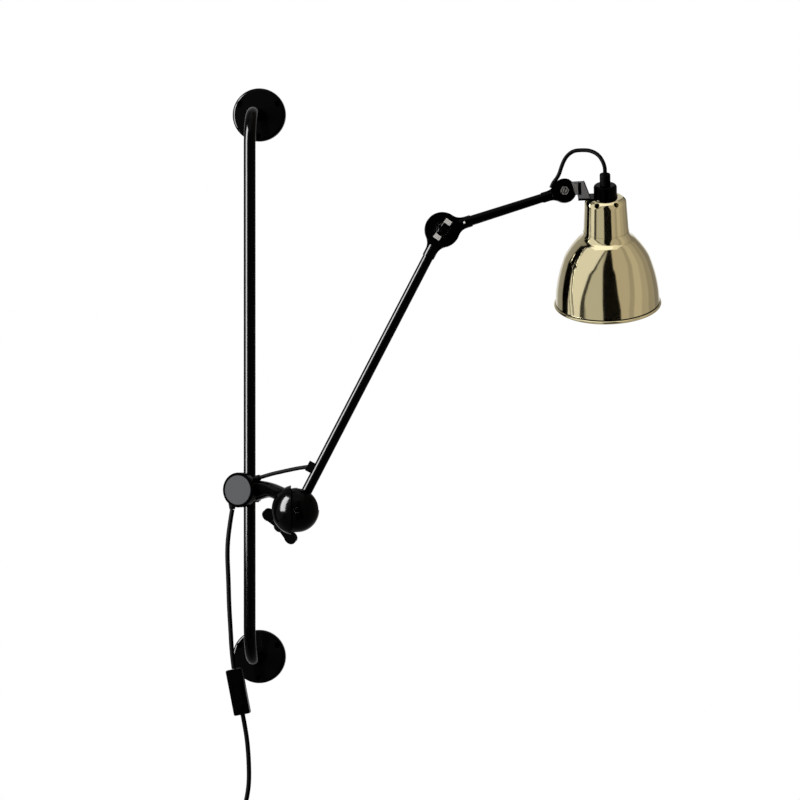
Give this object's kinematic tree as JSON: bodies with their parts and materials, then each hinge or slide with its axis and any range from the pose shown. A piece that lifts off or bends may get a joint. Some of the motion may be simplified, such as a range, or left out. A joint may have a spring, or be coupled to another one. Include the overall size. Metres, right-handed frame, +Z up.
{
  "type": "wall lamp",
  "caption": "Articulating wall lamp: a bracket slides on a vertical rail and carries a ball joint, two hinged arms and a tilting bell shade, with a corded inline switch.",
  "frame": {"origin": "centre of the lower wall disc's back face, on the wall", "axes": "+X to the right seen from the room, +Y into the wall, +Z up along the rail"},
  "size_m": [0.4969, 0.1823, 0.9747],
  "materials": {
    "black_metal": "gloss",
    "black_plastic": "gloss",
    "grey_cap": "satin",
    "bush_plastic": "matte",
    "steel": "bright",
    "grey_steel": "satin",
    "shade_brass": "polished",
    "cable_rubber": "matte",
    "bulb": "frosted",
    "bulb_cap": "satin"
  },
  "bodies": {
    "wall_frame": {"rail_tube": "black_metal", "lower_wall_disc": "black_metal", "upper_wall_disc": "black_metal"},
    "slider": {"slider_bush": "bush_plastic"},
    "bracket": {"bracket_arm": "black_metal", "clamp_pad": "bush_plastic", "mains_gland": "cable_rubber", "jumper_gland": "cable_rubber", "arm_cable_rear": "cable_rubber", "mains_cord_upper": "cable_rubber", "switch_back_shell": "black_plastic", "switch_front_shell": "black_plastic", "mains_cord_lower": "cable_rubber", "mains_cord_coil": "cable_rubber", "mains_cord_tail": "cable_rubber", "coil_tie": "black_plastic", "plug_body": "black_plastic", "plug_pin_left": "steel", "plug_pin_right": "steel"},
    "clamp_knob": {"knob_body": "black_plastic", "knob_cap": "grey_cap", "clamp_stud": "steel"},
    "ball_screw": {"ball_wing_screw": "black_metal", "ball_washer": "black_metal"},
    "switch_rocker": {"switch_rocker": "black_plastic"},
    "ball": {"pivot_ball": "black_metal", "pivot_pin": "steel", "arm_cable_front": "cable_rubber"},
    "lower_arm": {"arm_eye": "black_metal", "lower_arm_tube": "black_metal", "arm_grommet": "cable_rubber", "elbow_rear_head": "black_metal", "elbow_washer": "bush_plastic", "elbow_bolt": "steel"},
    "forearm": {"elbow_front_head": "black_metal", "elbow_nut_washer": "steel", "forearm_tube": "black_metal", "forearm_head": "black_metal", "head_washer": "bush_plastic", "head_bolt": "steel", "head_nut": "steel", "head_cable_rear": "cable_rubber"},
    "elbow_nut": {"elbow_wing_nut": "steel"},
    "head_fork": {"head_fork": "black_metal", "swivel_pin": "steel", "head_cable_front": "cable_rubber"},
    "shade_carrier": {"stirrup": "grey_steel", "swivel_nut": "steel", "shade_strap": "black_metal", "holder_ring": "black_plastic", "cable_gland": "cable_rubber", "lampholder": "black_plastic", "bulb_base": "bulb_cap", "bulb_glass": "bulb", "shade_cap": "shade_brass", "shade_bell": "shade_brass"}
  },
  "joints": [
    {"name": "rail_slide", "type": "slide", "parent": "wall_frame", "child": "slider", "axis": [0, 0, 1], "range_m": [-0.12, 0.36]},
    {"name": "bracket_turn", "type": "hinge", "parent": "slider", "child": "bracket", "pos_m": [0, -0.1, 0], "axis": [0, 0, 1], "range_deg": [-90, 2]},
    {"name": "knob_turn", "type": "hinge", "parent": "bracket", "child": "clamp_knob", "pos_m": [0, -0.1, 0.1925], "axis": [-0.3891, -0.9212, 0], "continuous": true},
    {"name": "ball_screw_turn", "type": "hinge", "parent": "bracket", "child": "ball_screw", "pos_m": [0.0595, -0.154, 0.1708], "axis": [-0.6281, 0.553, -0.5474], "range_deg": [-40, 40]},
    {"name": "switch_rock", "type": "hinge", "parent": "bracket", "child": "switch_rocker", "pos_m": [-0.0106, -0.125, -0.0345], "axis": [0.9816, 0, 0.1908], "range_deg": [-6, 6]},
    {"name": "ball_turn", "type": "hinge", "parent": "bracket", "child": "ball", "pos_m": [0.0595, -0.154, 0.1708], "axis": [-0.6281, 0.553, -0.5474], "range_deg": [-30, 30], "deforming": ["arm_cable_rear"]},
    {"name": "arm_tilt", "type": "hinge", "parent": "ball", "child": "lower_arm", "pos_m": [0.0595, -0.154, 0.1708], "axis": [0.1045, -0.9945, 0], "range_deg": [-46, 9], "deforming": ["arm_cable_front"]},
    {"name": "elbow_turn", "type": "hinge", "parent": "lower_arm", "child": "forearm", "pos_m": [0.22079, -0.13705, 0.48367], "axis": [0.1045, -0.9945, 0], "range_deg": [-75, 130]},
    {"name": "elbow_nut_turn", "type": "hinge", "parent": "forearm", "child": "elbow_nut", "pos_m": [0.22079, -0.13705, 0.48367], "axis": [0.1045, -0.9945, 0], "continuous": true},
    {"name": "head_tilt", "type": "hinge", "parent": "forearm", "child": "head_fork", "pos_m": [0.35732, -0.13275, 0.52714], "axis": [0.1045, -0.9945, 0], "range_deg": [-60, 60], "deforming": ["head_cable_rear"]},
    {"name": "shade_swivel", "type": "hinge", "parent": "head_fork", "child": "shade_carrier", "pos_m": [0.37261, -0.13969, 0.52777], "axis": [0.9936, 0.1044, 0.0436], "range_deg": [-60, 45], "deforming": ["head_cable_front"]}
  ]
}
